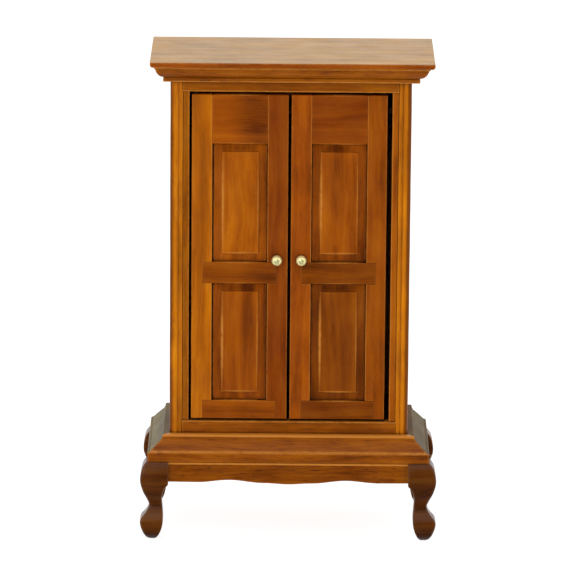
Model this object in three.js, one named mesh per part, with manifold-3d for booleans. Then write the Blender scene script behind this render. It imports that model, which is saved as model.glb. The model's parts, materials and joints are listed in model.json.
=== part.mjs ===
// Miniature wardrobe at 1:12: a two-door case on a moulded base with four cabriole legs.
// Millimetres, +Z up, +X to the viewer's right, doors facing -Y.
// The origin is on the floor in the middle of the footprint.
import * as THREE from 'three';
import { mergeVertices } from 'three/addons/utils/BufferGeometryUtils.js';
import Module from 'manifold-3d';

const wasm = await Module();
wasm.setup();

// Driving dimensions
const overallHeight = 177;
const caseWidth = 87;
const caseDepth = 43;
const legHeight = 29;
const corniceReach = 7.7;
const corniceHeight = 6.2;
const baseReach = 7.9;
const baseHeight = 9;
const kneeReach = 2.6;
const legDepth = 7.7;
const topThickness = 2.1;
const boardThickness = 3;
const backThickness = 1.5;
const postWidth = 4.5;
const jambWidth = 2.4;
const frameDepth = 4.5;
const topRailShown = 3.6;
const bottomRailShown = 4.5;
const railSetBack = 0.15;

// Driving dimensions of the doors
const doorThickness = 3;
const doorRecess = 0.8;
const leftGap = 0.9;
const rightGap = 1.5;
const middleGap = 1.1;
const headGap = 1.2;
const footGap = 0.8;
const stileWidth = 7.4;
const lockRailHeight = 7.9;
const bottomRailHeight = 6.9;
const panelOpening = 43.9;
const lapLength = 3.3;
const tongueDepth = 1;
const tongueThickness = 0.9;
const tongueSetBack = 1.2;
const fieldSetBack = 0.4;
const fieldMargin = 3.3;
const panelClearance = 0.3;

// Driving dimensions of the metalwork and the inner fittings
const knobRadius = 1.95;
const knobInset = 3.9;
const knobAboveLockRail = 1;
const pegLength = 2;
const pinRadius = 0.6;
const pinClearance = 0.06;
const pinInset = 1.5;
const pinReach = 2.8;
const railRadius = 1.2;
const railBelowShelf = 7;
const shelfThickness = 2;
const shelfBelowHead = 7;
const cleatSize = 2.5;
const doorStopSize = 3;
const doorStopGap = 0.2;

// Levels and planes that follow from them
const footprintDepth = baseReach + caseDepth + 2 * kneeReach;
const faceY = baseReach + kneeReach - footprintDepth / 2;
const backY = faceY + caseDepth;
const backPanelY = backY - backThickness;
const doorFaceY = faceY + doorRecess;
const doorY = [doorFaceY, doorFaceY + doorThickness];
const halfCase = caseWidth / 2;
const halfInside = halfCase - boardThickness;
const postInnerX = halfCase - postWidth;
const halfOpening = postInnerX - jambWidth;
const topUnder = overallHeight - topThickness;
const corniceFoot = topUnder - corniceHeight;
const caseFoot = legHeight + boardThickness;
const baseTop = legHeight + baseHeight;
const openingHead = corniceFoot - topRailShown;
const openingFoot = baseTop + bottomRailShown;
const doorFoot = openingFoot + footGap;
const doorHead = openingHead - headGap;
const doorWidth = (2 * halfOpening - leftGap - rightGap - middleGap) / 2;
const lowerPanelFoot = doorFoot + bottomRailHeight;
const lockRailFoot = lowerPanelFoot + panelOpening;
const upperPanelFoot = lockRailFoot + lockRailHeight;
const topRailFoot = upperPanelFoot + panelOpening;
const knobHeight = upperPanelFoot + knobAboveLockRail;
const shelfTop = openingHead - shelfBelowHead;
const shelfUnder = shelfTop - shelfThickness;
const hangingRailHeight = shelfUnder - railBelowShelf;
const hangingRailY = (doorFaceY + doorThickness + backPanelY) / 2;

const wardrobe = new THREE.Group();

// Materials
function caseWood() {
  return new THREE.MeshStandardMaterial({ color: 0x9a5216, roughness: 0.38, metalness: 0 });
}

function doorWood() {
  return new THREE.MeshStandardMaterial({ color: 0xa0500c, roughness: 0.36, metalness: 0 });
}

function legWood() {
  return new THREE.MeshStandardMaterial({ color: 0x55290f, roughness: 0.4, metalness: 0 });
}

function insideWood() {
  return new THREE.MeshStandardMaterial({ color: 0x8a5526, roughness: 0.6, metalness: 0 });
}

function brass() {
  return new THREE.MeshStandardMaterial({ color: 0xd9b25a, roughness: 0.22, metalness: 1 });
}

function add(name, geometry, material) {
  const mesh = new THREE.Mesh(geometry, material);
  mesh.name = name;
  wardrobe.add(mesh);
  return mesh;
}

// Shapes
function span(first, second) {
  return [Math.min(first, second), Math.max(first, second)];
}

function block(x, y, z) {
  const geometry = new THREE.BoxGeometry(x[1] - x[0], y[1] - y[0], z[1] - z[0]);
  return geometry.translate((x[0] + x[1]) / 2, (y[0] + y[1]) / 2, (z[0] + z[1]) / 2);
}

// An upright round bar with its axis at x, y.
function upright(x, y, z, radius) {
  const geometry = new THREE.CylinderGeometry(radius, radius, z[1] - z[0], 16);
  return geometry.rotateX(Math.PI / 2).translate(x, y, (z[0] + z[1]) / 2);
}

function toSolid(geometry) {
  const bare = geometry.clone();
  bare.deleteAttribute('normal');
  bare.deleteAttribute('uv');
  const merged = mergeVertices(bare);
  const vertProperties = Float32Array.from(merged.attributes.position.array);
  const triVerts = Uint32Array.from(merged.index.array);
  return new wasm.Manifold(new wasm.Mesh({ numProp: 3, vertProperties, triVerts }));
}

function toGeometry(solid) {
  const mesh = solid.getMesh();
  const geometry = new THREE.BufferGeometry();
  geometry.setAttribute('position', new THREE.BufferAttribute(mesh.vertProperties, 3));
  geometry.setIndex(new THREE.BufferAttribute(mesh.triVerts, 1));
  geometry.computeVertexNormals();
  return geometry;
}

function cut(geometry, tools) {
  const whole = toSolid(geometry);
  return toGeometry(tools.reduce((rest, tool) => rest.subtract(toSolid(tool)), whole));
}

function join(first, second) {
  return toGeometry(toSolid(first).add(toSolid(second)));
}

function common(first, second) {
  return toGeometry(toSolid(first).intersect(toSolid(second)));
}

// Mouldings: a profile of [reach beyond the case, height] is run along one side of the case.
// A mitred end moves each point along the run by its own reach.
function moulding(profile, length, mitreStart, mitreEnd) {
  const shape = new THREE.Shape(profile);
  const geometry = new THREE.ExtrudeGeometry(shape, { depth: length, bevelEnabled: false });
  const points = geometry.attributes.position;
  for (let i = 0; i < points.count; i += 1) {
    const reach = points.getX(i);
    const atStart = points.getZ(i) < length / 2;
    const shift = atStart ? -reach * mitreStart : reach * mitreEnd;
    points.setXYZ(i, reach, points.getY(i), points.getZ(i) + shift);
  }
  return geometry;
}

// Profile axes to the front of the case: reach to -Y, height to +Z, run to -X.
function placeFront(geometry) {
  const turn = new THREE.Matrix4().makeBasis(
    new THREE.Vector3(0, -1, 0),
    new THREE.Vector3(0, 0, 1),
    new THREE.Vector3(-1, 0, 0),
  );
  return geometry.applyMatrix4(turn).translate(halfCase, faceY, 0);
}

// The right side has reach to +X and runs forward; the left side has reach to -X and runs back.
function placeSide(geometry, side) {
  const turn = new THREE.Matrix4().makeBasis(
    new THREE.Vector3(side, 0, 0),
    new THREE.Vector3(0, 0, 1),
    new THREE.Vector3(0, -side, 0),
  );
  return geometry.applyMatrix4(turn).translate(side * halfCase, side > 0 ? backY : faceY, 0);
}

function mouldingSet(name, profile) {
  add(`${name}_front`, placeFront(moulding(profile, caseWidth, 1, 1)), caseWood());
  add(`${name}_left`, placeSide(moulding(profile, caseDepth, 1, 0), -1), caseWood());
  add(`${name}_right`, placeSide(moulding(profile, caseDepth, 0, 1), 1), caseWood());
}

// From the case outwards: a soffit, a fillet, a cove and the underside of the top board.
function corniceProfile() {
  const filletReach = 3;
  const filletFoot = corniceFoot + 0.6;
  const filletTop = corniceFoot + 2.2;
  const coveReach = 6.1;
  const lipHeight = 0.5;
  const step = 0.3;
  const cove = new THREE.QuadraticBezierCurve(
    new THREE.Vector2(filletReach + step, filletTop),
    new THREE.Vector2(filletReach + 2 * step, topUnder - 2 * lipHeight),
    new THREE.Vector2(coveReach, topUnder - lipHeight),
  );
  return [
    new THREE.Vector2(0, corniceFoot),
    new THREE.Vector2(step, corniceFoot),
    new THREE.Vector2(filletReach, filletFoot),
    new THREE.Vector2(filletReach, filletTop),
    ...cove.getPoints(6),
    new THREE.Vector2(coveReach, topUnder),
    new THREE.Vector2(0, topUnder),
  ];
}

// From the floor side upwards: a flat fascia, a small step, a cove and a top fillet.
function baseProfile() {
  const filletReach = 2.5;
  const filletFoot = baseTop - 1.2;
  const fasciaTop = legHeight + 3.2;
  const step = 0.6;
  const cove = new THREE.QuadraticBezierCurve(
    new THREE.Vector2(baseReach - step, fasciaTop + step),
    new THREE.Vector2(filletReach + 1, fasciaTop + 2),
    new THREE.Vector2(filletReach, filletFoot),
  );
  return [
    new THREE.Vector2(0, legHeight),
    new THREE.Vector2(baseReach, legHeight),
    new THREE.Vector2(baseReach, fasciaTop),
    ...cove.getPoints(6),
    new THREE.Vector2(filletReach, baseTop),
    new THREE.Vector2(0, baseTop),
  ];
}

// The board is bevelled, so its outline is drawn in by the bevel on every side.
function topBoard() {
  const bevel = 0.5;
  const halfWidth = halfCase + corniceReach - bevel;
  const outline = new THREE.Shape([
    new THREE.Vector2(-halfWidth, faceY - corniceReach + bevel),
    new THREE.Vector2(halfWidth, faceY - corniceReach + bevel),
    new THREE.Vector2(halfWidth, backY - bevel),
    new THREE.Vector2(-halfWidth, backY - bevel),
  ]);
  const geometry = new THREE.ExtrudeGeometry(outline, {
    depth: topThickness - 2 * bevel,
    bevelThickness: bevel,
    bevelSize: bevel,
    bevelSegments: 2,
  });
  add('top_board', geometry.translate(0, 0, topUnder + bevel), caseWood());
}

// A post's front carries a broad outer reed and a narrow inner bead, with a groove between them.
function postOutline(side) {
  const grooveX = postInnerX + 1.5;
  const grooveY = faceY + 0.5;
  const beadCrown = { x: (postInnerX + grooveX) / 2, y: faceY - 0.1 };
  const reedCrown = { x: grooveX + 1, y: faceY - 0.5 };
  const cornerY = faceY + 1;
  const outline = new THREE.Shape();
  outline.moveTo(side * postInnerX, faceY + frameDepth);
  outline.lineTo(side * postInnerX, grooveY);
  outline.quadraticCurveTo(side * beadCrown.x, beadCrown.y, side * grooveX, grooveY);
  outline.quadraticCurveTo(side * reedCrown.x, reedCrown.y, side * halfCase, cornerY);
  outline.lineTo(side * halfCase, faceY + frameDepth);
  return outline;
}

function post(name, side) {
  const settings = { depth: topUnder - caseFoot, bevelEnabled: false, curveSegments: 6 };
  const geometry = new THREE.ExtrudeGeometry(postOutline(side), settings);
  add(name, geometry.translate(0, 0, caseFoot), caseWood());
}

// A jamb strip closes the post's inner side between the two rails, level with the doors' faces.
function jamb(name, side) {
  const x = span(side * halfOpening, side * postInnerX);
  add(name, block(x, doorY, [openingFoot, openingHead]), caseWood());
}

// Hinge axes: each door turns on two pins set near the outer edge of its hinge stile.
const hingeEdge = { left: -halfOpening + leftGap, right: halfOpening - rightGap };
const sideOf = { left: -1, right: 1 };
const hingeY = doorFaceY + pinInset;

function hingeX(hand) {
  return hingeEdge[hand] - sideOf[hand] * pinInset;
}

// Each rail is bored for one pin of each door.
function pinHoles(z) {
  return Object.keys(sideOf).map((hand) => upright(hingeX(hand), hingeY, z, pinRadius));
}

function caseRails() {
  const x = [-postInnerX, postInnerX];
  const y = [faceY + railSetBack, faceY + frameDepth];
  const topHoles = pinHoles([openingHead - 1, openingHead + pinReach]);
  const bottomHoles = pinHoles([openingFoot - pinReach, openingFoot + 1]);
  add('top_rail', cut(block(x, y, [openingHead, topUnder]), topHoles), caseWood());
  add('bottom_rail', cut(block(x, y, [caseFoot, openingFoot]), bottomHoles), caseWood());
}

function casePanels() {
  const sideY = [faceY + frameDepth, backY];
  const z = [caseFoot, topUnder];
  add('left_side_panel', block([-halfCase, -halfInside], sideY, z), caseWood());
  add('right_side_panel', block([halfInside, halfCase], sideY, z), caseWood());
  add('back_panel', block([-halfInside, halfInside], [backPanelY, backY], z), insideWood());
  const floorY = [faceY + frameDepth, backPanelY];
  const floorZ = [openingFoot - boardThickness, openingFoot];
  add('case_floor', block([-halfInside, halfInside], floorY, floorZ), insideWood());
  add('base_board', block([-halfCase, halfCase], [faceY, backY], [legHeight, caseFoot]), caseWood());
}

// The stop is glued behind the top rail and hangs below it, clear of the hinge stiles.
function doorStop() {
  const x = [stileWidth - halfOpening, halfOpening - stileWidth];
  const stopFront = doorFaceY + doorThickness + doorStopGap;
  const stopBack = faceY + frameDepth + doorStopSize / 2;
  const hanging = block(x, [stopFront, stopBack], [openingHead - doorStopSize, openingHead]);
  const glued = block(x, [faceY + frameDepth, stopBack], [openingHead - 1, openingHead + doorStopSize]);
  add('door_stop', join(hanging, glued), insideWood());
}

function hatShelf() {
  const shelfFront = faceY + frameDepth + doorStopSize;
  const cleatY = [shelfFront + cleatSize, backPanelY];
  const cleatZ = [shelfUnder - cleatSize, shelfUnder];
  const shelfY = [shelfFront, backPanelY];
  add('hat_shelf', block([-halfInside, halfInside], shelfY, [shelfUnder, shelfTop]), insideWood());
  add('shelf_cleat_left', block([-halfInside, -halfInside + cleatSize], cleatY, cleatZ), insideWood());
  add('shelf_cleat_right', block([halfInside - cleatSize, halfInside], cleatY, cleatZ), insideWood());
}

// A bar or collar across the case, from x0 to x1 at the hanging rail's place.
function crossBar(x0, x1, radius) {
  const geometry = new THREE.CylinderGeometry(radius, radius, x1 - x0, 20);
  return geometry.rotateZ(Math.PI / 2).translate((x0 + x1) / 2, hangingRailY, hangingRailHeight);
}

function hangingRail() {
  const socketLength = 1.6;
  const socketWall = 1;
  const socketFloor = 0.6;
  const socketRadius = railRadius + socketWall;
  const halfRail = halfInside - socketFloor;
  const rail = crossBar(-halfRail, halfRail, railRadius);
  const bore = crossBar(-halfRail, halfRail, railRadius + pinClearance);
  add('hanging_rail', rail, insideWood());
  const left = crossBar(-halfInside, -halfInside + socketLength, socketRadius);
  const right = crossBar(halfInside - socketLength, halfInside, socketRadius);
  add('rail_socket_left', cut(left, [bore]), insideWood());
  add('rail_socket_right', cut(right, [bore]), insideWood());
}

// Legs: the same outline is sawn on two neighbouring faces, so the knee and foot point outwards
// along the diagonal. The outline is [reach beyond the base moulding, height above the floor].
function legOutline() {
  const outer = [
    [0, legHeight], [1.6, 27], [kneeReach, 22.5], [1.6, 18], [-0.2, 14],
    [-0.6, 12.2], [0.7, 9.8], [2.3, 8], [kneeReach, 6], [1.5, 2.4],
  ];
  const inner = [[-4, 1.2], [-5.2, 4], [-5.8, 7.5], [-5.4, 15.5], [-6.4, 19.5], [-legDepth, 21]];
  const sole = [-0.5, -3];
  const toVector = ([reach, height]) => new THREE.Vector2(reach, height);
  const outline = new THREE.Shape();
  outline.moveTo(...outer[0]);
  outline.splineThru(outer.slice(1).map(toVector));
  outline.lineTo(sole[0], 0);
  outline.lineTo(sole[1], 0);
  outline.lineTo(...inner[0]);
  outline.splineThru(inner.slice(1).map(toVector));
  outline.lineTo(-legDepth, legHeight);
  return outline;
}

function legGeometry() {
  const blank = 2 * (legDepth + kneeReach);
  const settings = { depth: blank, bevelEnabled: false, curveSegments: 10 };
  const sawn = new THREE.ExtrudeGeometry(legOutline(), settings).translate(0, 0, -blank / 2);
  const front = sawn.clone().rotateX(Math.PI / 2);
  const side = front.clone().rotateZ(-Math.PI / 2);
  return common(front, side);
}

// At no turn the leg's diagonal points to +X, -Y; each corner is a quarter turn further.
function legs() {
  const cornerX = halfCase + baseReach;
  const frontY = faceY - baseReach;
  const corners = [
    { name: 'leg_front_right', x: cornerX, y: frontY, turn: 0 },
    { name: 'leg_back_right', x: cornerX, y: backY, turn: 1 },
    { name: 'leg_back_left', x: -cornerX, y: backY, turn: 2 },
    { name: 'leg_front_left', x: -cornerX, y: frontY, turn: 3 },
  ];
  for (const { name, x, y, turn } of corners) {
    const leg = add(name, legGeometry(), legWood());
    leg.rotation.z = turn * Math.PI / 2;
    leg.position.set(x, y, 0);
  }
}

// An apron's lower edge has a shallow lobe in the middle and a smaller one near each end.
function scallopedApron(length) {
  const half = length / 2;
  const low = legHeight - 8.6;
  const lobe = [[1, 0.8], [0.76, 0.7], [0.48, 1.75], [0.2, 0.45], [0, 0]];
  const toVector = ([across, rise]) => new THREE.Vector2(half * across, low + rise);
  const rightHalf = lobe.map(toVector);
  const leftHalf = lobe.slice(0, -1).reverse().map(([across, rise]) => toVector([-across, rise]));
  const outline = new THREE.Shape();
  outline.moveTo(-half, legHeight);
  outline.lineTo(half, legHeight);
  outline.lineTo(rightHalf[0].x, rightHalf[0].y);
  outline.splineThru([...rightHalf.slice(1), ...leftHalf]);
  outline.closePath();
  const settings = { depth: boardThickness, bevelEnabled: false, curveSegments: 24 };
  return new THREE.ExtrudeGeometry(outline, settings).rotateX(Math.PI / 2);
}

function aprons() {
  const setBack = 0.5;
  const backApronHeight = 7;
  const frontLength = 2 * (halfCase + baseReach - legDepth);
  const sideLength = caseDepth + baseReach - 2 * legDepth;
  const frontY = faceY - baseReach + setBack;
  const sideX = halfCase + baseReach - setBack;
  const sideY = (faceY - baseReach + backY) / 2;
  const front = scallopedApron(frontLength).translate(0, frontY + boardThickness, 0);
  const right = scallopedApron(sideLength).rotateZ(Math.PI / 2);
  const left = scallopedApron(sideLength).rotateZ(-Math.PI / 2);
  add('front_apron', front, caseWood());
  add('right_apron', right.translate(sideX - boardThickness, sideY, 0), caseWood());
  add('left_apron', left.translate(-sideX + boardThickness, sideY, 0), caseWood());
  const backX = [-frontLength / 2, frontLength / 2];
  const backApronY = [backY - setBack - boardThickness, backY - setBack];
  add('back_apron', block(backX, backApronY, [legHeight - backApronHeight, legHeight]), caseWood());
}

// Doors. Across a door, places are measured from its hinge edge towards its meeting edge.
function across(hand, from, to) {
  return span(hingeEdge[hand] - sideOf[hand] * from, hingeEdge[hand] - sideOf[hand] * to);
}

// The panel's tongue sits in a groove in the stiles and rails, with room to move when it is cut.
function tongue(hand, foot, room) {
  const x = across(hand, stileWidth - tongueDepth - room, doorWidth - stileWidth + tongueDepth + room);
  const y = [doorFaceY + tongueSetBack, doorFaceY + tongueSetBack + tongueThickness];
  return block(x, y, [foot - tongueDepth - room, foot + panelOpening + tongueDepth + room]);
}

function grooves(hand) {
  return [lowerPanelFoot, upperPanelFoot].map((foot) => tongue(hand, foot, panelClearance));
}

function raisedPanel(hand, foot) {
  const field = { wide: doorWidth - 2 * (stileWidth + fieldMargin), high: panelOpening - 2 * fieldMargin };
  const outline = new THREE.Shape([
    new THREE.Vector2(-field.wide / 2, -field.high / 2),
    new THREE.Vector2(field.wide / 2, -field.high / 2),
    new THREE.Vector2(field.wide / 2, field.high / 2),
    new THREE.Vector2(-field.wide / 2, field.high / 2),
  ]);
  const embedded = 0.05;
  const gap = 0.1;
  const raised = new THREE.ExtrudeGeometry(outline, {
    depth: embedded,
    bevelThickness: tongueSetBack - fieldSetBack,
    bevelSize: fieldMargin - gap,
    bevelSegments: 1,
  });
  const [x0, x1] = across(hand, stileWidth, doorWidth - stileWidth);
  raised.rotateX(Math.PI / 2);
  raised.translate((x0 + x1) / 2, doorFaceY + tongueSetBack + embedded, foot + panelOpening / 2);
  return join(tongue(hand, foot, 0), raised);
}

// The lock rail and bottom rail lap over the front half of both stiles.
function lappedRail(hand, z) {
  const frontHalfY = [doorFaceY, doorFaceY + doorThickness / 2];
  const lap = block(across(hand, stileWidth - lapLength, doorWidth - stileWidth + lapLength), frontHalfY, z);
  const core = block(across(hand, stileWidth, doorWidth - stileWidth), doorY, z);
  return cut(join(lap, core), grooves(hand));
}

function lapNotches(hand) {
  const y = [doorFaceY - 1, doorFaceY + doorThickness / 2];
  const x = across(hand, stileWidth - lapLength, doorWidth - stileWidth + lapLength);
  return [block(x, y, [doorFoot - 1, lowerPanelFoot]), block(x, y, [lockRailFoot, upperPanelFoot])];
}

function knobPlace(hand) {
  return hingeEdge[hand] - sideOf[hand] * (doorWidth - knobInset);
}

// A turned knob on a peg; the profile is [radius, distance out from the door's face].
function knobProfile() {
  const flange = { radius: 1.2, thickness: 0.3 };
  const neck = { radius: 0.8, out: 0.6 };
  const head = { out: 2.1, halfThickness: 1.2, steps: 6 };
  const profile = [
    new THREE.Vector2(0, -pegLength),
    new THREE.Vector2(pinRadius, -pegLength),
    new THREE.Vector2(pinRadius, 0),
    new THREE.Vector2(flange.radius, 0),
    new THREE.Vector2(flange.radius, flange.thickness),
    new THREE.Vector2(neck.radius, neck.out),
  ];
  for (let i = 0; i < head.steps; i += 1) {
    const angle = (3 * i / head.steps - 1) * Math.PI / 4;
    const out = head.out + head.halfThickness * Math.sin(angle);
    profile.push(new THREE.Vector2(knobRadius * Math.cos(angle), out));
  }
  profile.push(new THREE.Vector2(0, head.out + head.halfThickness));
  return profile;
}

function knob(hand) {
  const geometry = new THREE.LatheGeometry(knobProfile(), 24);
  geometry.rotateX(Math.PI);
  add(`${hand}_knob`, geometry.translate(knobPlace(hand), doorFaceY, knobHeight), brass());
}

function pegHole(hand) {
  const holeLength = 2 * (pegLength + panelClearance);
  const hole = new THREE.CylinderGeometry(pinRadius, pinRadius, holeLength, 24);
  return hole.translate(knobPlace(hand), doorFaceY, knobHeight);
}

function door(hand) {
  const doorZ = [doorFoot, doorHead];
  const pinBore = pinRadius + pinClearance;
  const x = hingeX(hand);
  const boreDepth = pinReach + panelClearance;
  const bores = [
    upright(x, hingeY, [doorFoot - 1, doorFoot + boreDepth], pinBore),
    upright(x, hingeY, [doorHead - boreDepth, doorHead + 1], pinBore),
  ];
  const jointCuts = [...lapNotches(hand), ...grooves(hand)];
  const hingeStile = block(across(hand, 0, stileWidth), doorY, doorZ);
  const meetingStile = block(across(hand, doorWidth - stileWidth, doorWidth), doorY, doorZ);
  const topRail = block(across(hand, stileWidth, doorWidth - stileWidth), doorY, [topRailFoot, doorHead]);
  add(`${hand}_hinge_stile`, cut(hingeStile, [...jointCuts, ...bores]), doorWood());
  add(`${hand}_meeting_stile`, cut(meetingStile, [...jointCuts, pegHole(hand)]), doorWood());
  add(`${hand}_door_top_rail`, cut(topRail, grooves(hand)), doorWood());
  add(`${hand}_door_lock_rail`, lappedRail(hand, [lockRailFoot, upperPanelFoot]), doorWood());
  add(`${hand}_door_bottom_rail`, lappedRail(hand, [doorFoot, lowerPanelFoot]), doorWood());
  add(`${hand}_upper_panel`, raisedPanel(hand, upperPanelFoot), doorWood());
  add(`${hand}_lower_panel`, raisedPanel(hand, lowerPanelFoot), doorWood());
  knob(hand);
}

// The lower pin has a collar that carries the door's weight and holds it off the bottom rail.
function hingePins(hand) {
  const x = hingeX(hand);
  const collarHeight = footGap - 0.05;
  const collarRadius = 1.2;
  const foot = openingFoot - pinReach;
  const lower = new THREE.LatheGeometry([
    new THREE.Vector2(0, foot),
    new THREE.Vector2(pinRadius, foot),
    new THREE.Vector2(pinRadius, openingFoot),
    new THREE.Vector2(collarRadius, openingFoot),
    new THREE.Vector2(collarRadius, openingFoot + collarHeight),
    new THREE.Vector2(pinRadius, openingFoot + collarHeight),
    new THREE.Vector2(pinRadius, doorFoot + pinReach),
    new THREE.Vector2(0, doorFoot + pinReach),
  ], 16);
  add(`${hand}_lower_hinge_pin`, lower.rotateX(Math.PI / 2).translate(x, hingeY, 0), brass());
  const upper = upright(x, hingeY, [doorHead - pinReach, openingHead + pinReach], pinRadius);
  add(`${hand}_upper_hinge_pin`, upper, brass());
}

topBoard();
mouldingSet('cornice', corniceProfile());
mouldingSet('base_moulding', baseProfile());
post('left_front_post', -1);
post('right_front_post', 1);
jamb('left_jamb_strip', -1);
jamb('right_jamb_strip', 1);
caseRails();
casePanels();
doorStop();
hatShelf();
hangingRail();
legs();
aprons();
for (const hand of ['left', 'right']) {
  door(hand);
  hingePins(hand);
}

export default wardrobe;
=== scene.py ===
import itertools
import json
import math

import bmesh
import bpy
from mathutils import Matrix, Vector, noise

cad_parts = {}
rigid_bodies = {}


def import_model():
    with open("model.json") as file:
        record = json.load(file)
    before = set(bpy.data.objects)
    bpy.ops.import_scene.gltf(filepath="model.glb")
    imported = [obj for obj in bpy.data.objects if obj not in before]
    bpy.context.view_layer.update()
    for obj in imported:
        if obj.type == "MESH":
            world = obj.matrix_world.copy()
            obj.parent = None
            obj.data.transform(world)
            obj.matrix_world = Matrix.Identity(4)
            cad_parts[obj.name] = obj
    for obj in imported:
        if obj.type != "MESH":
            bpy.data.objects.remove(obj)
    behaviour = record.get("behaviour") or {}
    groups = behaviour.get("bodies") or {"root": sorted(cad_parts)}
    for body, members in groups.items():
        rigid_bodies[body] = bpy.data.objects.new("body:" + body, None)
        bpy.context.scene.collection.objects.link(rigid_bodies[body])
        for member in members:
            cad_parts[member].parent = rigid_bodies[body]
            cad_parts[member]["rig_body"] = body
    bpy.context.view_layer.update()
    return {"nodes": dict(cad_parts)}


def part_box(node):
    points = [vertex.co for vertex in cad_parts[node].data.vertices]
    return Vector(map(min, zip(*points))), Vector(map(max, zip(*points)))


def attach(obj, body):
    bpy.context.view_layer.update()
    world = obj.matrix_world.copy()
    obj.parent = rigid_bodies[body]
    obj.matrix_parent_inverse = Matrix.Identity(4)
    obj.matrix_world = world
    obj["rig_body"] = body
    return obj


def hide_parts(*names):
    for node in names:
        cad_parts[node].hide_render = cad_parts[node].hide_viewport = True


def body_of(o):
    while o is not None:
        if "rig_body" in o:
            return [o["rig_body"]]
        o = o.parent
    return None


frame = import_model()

# Looks of the miniature wardrobe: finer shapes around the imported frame, procedural wood and brass,
# a white studio and the camera. Shapes are worked out in millimetres and scaled when a mesh is made.
MM = 0.001

# Sizes that the frame doesn't give, in millimetres
ARRIS = 0.34  # rounding of a worn edge
JOINT_ARRIS = 0.09  # rounding where two pieces are joined flush
SAME = 0.02  # places closer than this are the same place
ASKEW = 0.4  # how far the top board and the cornice sit to the right
DOOR_PLAY = 0.3  # how much narrower the right door is than its CAD shape
POST_GROOVE = 1.5  # from a post's inner edge to its groove
TONGUE = 1.0  # how far a door's panel reaches into its frame
GRID = 4.0  # longest stretch of a piece without a point, so that it can be wavy
WAVINESS = 0.05  # how far a face strays from flat
ENDLESS = 500.0  # reach of a patch that runs the whole length of a piece
ALL_FRONTS = 100.0  # reach in depth of a line on the front, whichever plane it is on

EDGE_STEPS = 3  # stretches along a quarter of a rounded edge
HANDS = ("left", "right")
SIDE = {"left": -1, "right": 1}
noise.seed_set(1)  # or else each run would have other waves


def box(name):
    """A CAD node's lowest and highest corner, in millimetres."""
    low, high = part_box(name)
    return low / MM, high / MM


# Planes and levels of the frame that the shapes are set out from
case_low, case_high = box("base_board")
top_low, top_high = box("top_board")
base_high = box("base_moulding_front")[1]
HALF_CASE = case_high.x
FACE_Y = case_low.y
BACK_Y = case_high.y
DOOR_FACE_Y = box("left_door_lock_rail")[0].y
LEG_TOP = case_low.z
BASE_TOP = base_high.z
BASE_REACH = base_high.x - HALF_CASE
BASE_NOSE = LEG_TOP + 3.65  # where the base moulding is rounded over towards its cove
CORNICE_FOOT = box("cornice_front")[0].z
TOP_UNDER = top_low.z


# Node trees
def node(tree, kind, inputs=None, **settings):
    """Adds a shader node; an input is a value or another node's output."""
    made = tree.nodes.new(kind)
    for key, value in settings.items():
        setattr(made, key, value)
    for key, value in (inputs or {}).items():
        if isinstance(value, bpy.types.NodeSocket):
            tree.links.new(value, made.inputs[key])
        else:
            made.inputs[key].default_value = value
    return made


def math_node(tree, operation, first, second=0.0, clamp=False):
    """The result of one sum."""
    made = node(tree, "ShaderNodeMath", {0: first, 1: second}, operation=operation, use_clamp=clamp)
    return made.outputs[0]


def remap(tree, value, start, end, low=0.0, high=1.0):
    """Value from start..end to low..high with soft ends."""
    inputs = {"Value": value, "From Min": start, "From Max": end, "To Min": low, "To Max": high}
    return node(tree, "ShaderNodeMapRange", inputs, interpolation_type="SMOOTHSTEP").outputs["Result"]


def stretched_noise(tree, place, across, along, detail=3.0, roughness=0.55):
    """Noise with so many waves per millimetre across and along the grain, which runs along Z."""
    scaled = node(tree, "ShaderNodeVectorMath", {0: place, 1: (across, across, along)}, operation="MULTIPLY")
    inputs = {"Vector": scaled.outputs[0], "Scale": 1.0, "Detail": detail, "Roughness": roughness}
    return node(tree, "ShaderNodeTexNoise", inputs)


def mix(tree, share, first, second, blend="MIX"):
    """The first colour where the share is 0, the second blended over it where the share is 1."""
    made = node(tree, "ShaderNodeMix", data_type="RGBA", blend_type=blend)
    for socket, value in ((made.inputs[0], share), (made.inputs[6], first), (made.inputs[7], second)):
        if isinstance(value, bpy.types.NodeSocket):
            tree.links.new(value, socket)
        else:
            socket.default_value = value
    return made.outputs[2]


def blend_by_tone(tree, tone, dark, middle, light):
    """Dark below a tone of 0, middle at a half, light above 1."""
    lower = math_node(tree, "MULTIPLY", tone, 2.0, clamp=True)
    upper = math_node(tree, "SUBTRACT", math_node(tree, "MULTIPLY", tone, 2.0), 1.0, clamp=True)
    return mix(tree, upper, mix(tree, lower, dark, middle), light)


def wood_sockets(tree):
    """Gives the group its inputs and outputs, and returns the inputs as they are seen from inside."""
    add = tree.interface.new_socket
    add("Place", in_out="INPUT", socket_type="NodeSocketVector")
    for name in ("Light", "Middle", "Dark", "SheenColour"):
        add(name, in_out="INPUT", socket_type="NodeSocketColor")
    for name in ("Bands", "Fibres", "Pores", "Blotches", "Spots", "Lines", "WearAndHighlight", "StainAndShade", "GrazingSheen",
                 "Roughness"):
        add(name, in_out="INPUT", socket_type="NodeSocketFloat")
    add("Color", in_out="OUTPUT", socket_type="NodeSocketColor")
    add("Roughness", in_out="OUTPUT", socket_type="NodeSocketFloat")
    add("Height", in_out="OUTPUT", socket_type="NodeSocketFloat")
    return tree.nodes.new("NodeGroupInput").outputs


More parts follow.
